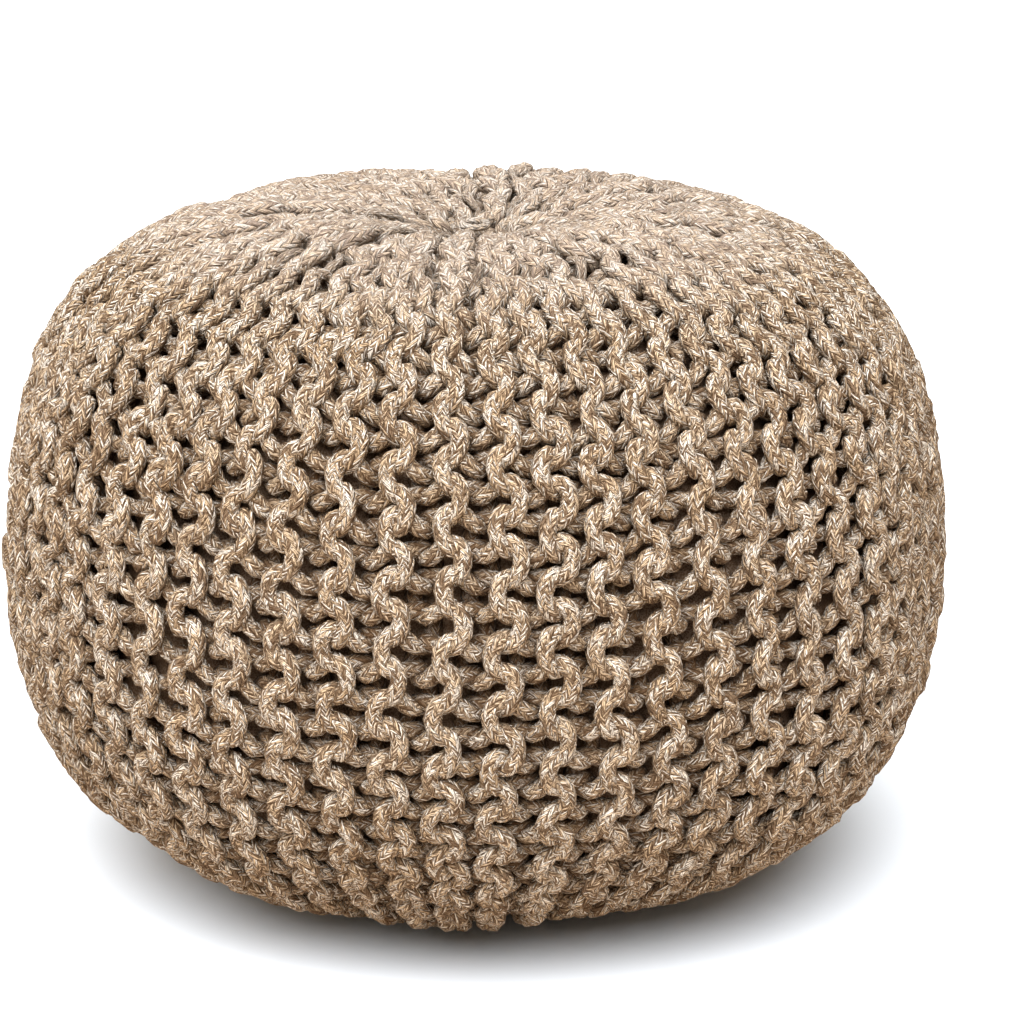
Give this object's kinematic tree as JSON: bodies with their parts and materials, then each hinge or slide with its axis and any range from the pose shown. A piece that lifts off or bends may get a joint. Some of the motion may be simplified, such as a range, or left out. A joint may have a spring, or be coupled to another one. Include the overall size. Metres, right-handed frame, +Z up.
{
  "type": "knitted pouf",
  "caption": "Round knitted floor pouf: a ribbed cord cover in garter stitch, gathered by a cord ring at each pole, over a filled lining bag.",
  "frame": {"origin": "centre of the pouf's outline on the floor", "axes": "+Z up through the crown; -Y towards the side that the knitting's top pole leans to"},
  "size_m": [0.4566, 0.4563, 0.338],
  "materials": {
    "cotton_cord": "matt braided cotton cord, beige flecked with cream",
    "lining_cloth": "matt plain woven cloth, pinkish beige"
  },
  "bodies": {
    "root": {"knit_cover": "cotton_cord", "gathering_ring_top": "cotton_cord", "gathering_ring_floor": "cotton_cord", "lining_bag": "lining_cloth"}
  },
  "joints": []
}
